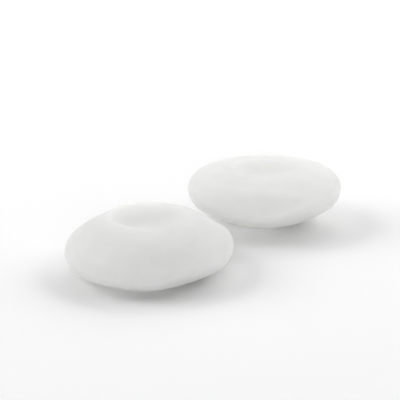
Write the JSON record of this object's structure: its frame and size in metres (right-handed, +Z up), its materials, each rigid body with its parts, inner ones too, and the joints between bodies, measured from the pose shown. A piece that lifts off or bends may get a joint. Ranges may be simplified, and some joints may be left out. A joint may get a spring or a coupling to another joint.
{
  "type": "ear plugs",
  "caption": "Soft white lens-shaped ear plugs with dimpled tops, resting side by side, each a solid lump pressed into the bowl of the ear to block noise.",
  "frame": {"origin": "on the surface that the plugs rest on, midway between them, at the centre of the bottom of the pair's bounding box", "axes": "+X runs from the left plug's centre to the right plug's centre, +Z points up from the surface, and +Y runs across the pair"},
  "size_m": [0.0368, 0.017, 0.0064],
  "materials": {
    "plug": "soft white, matte to satin, fine-grained"
  },
  "bodies": {
    "left_plug": {"left_plug": "plug"},
    "right_plug": {"right_plug": "plug"}
  },
  "joints": [
    {"name": "right_plug_lift", "type": "slide", "parent": "left_plug", "child": "right_plug", "axis": [0, 0, 1], "range_m": [0, 0.03]}
  ]
}
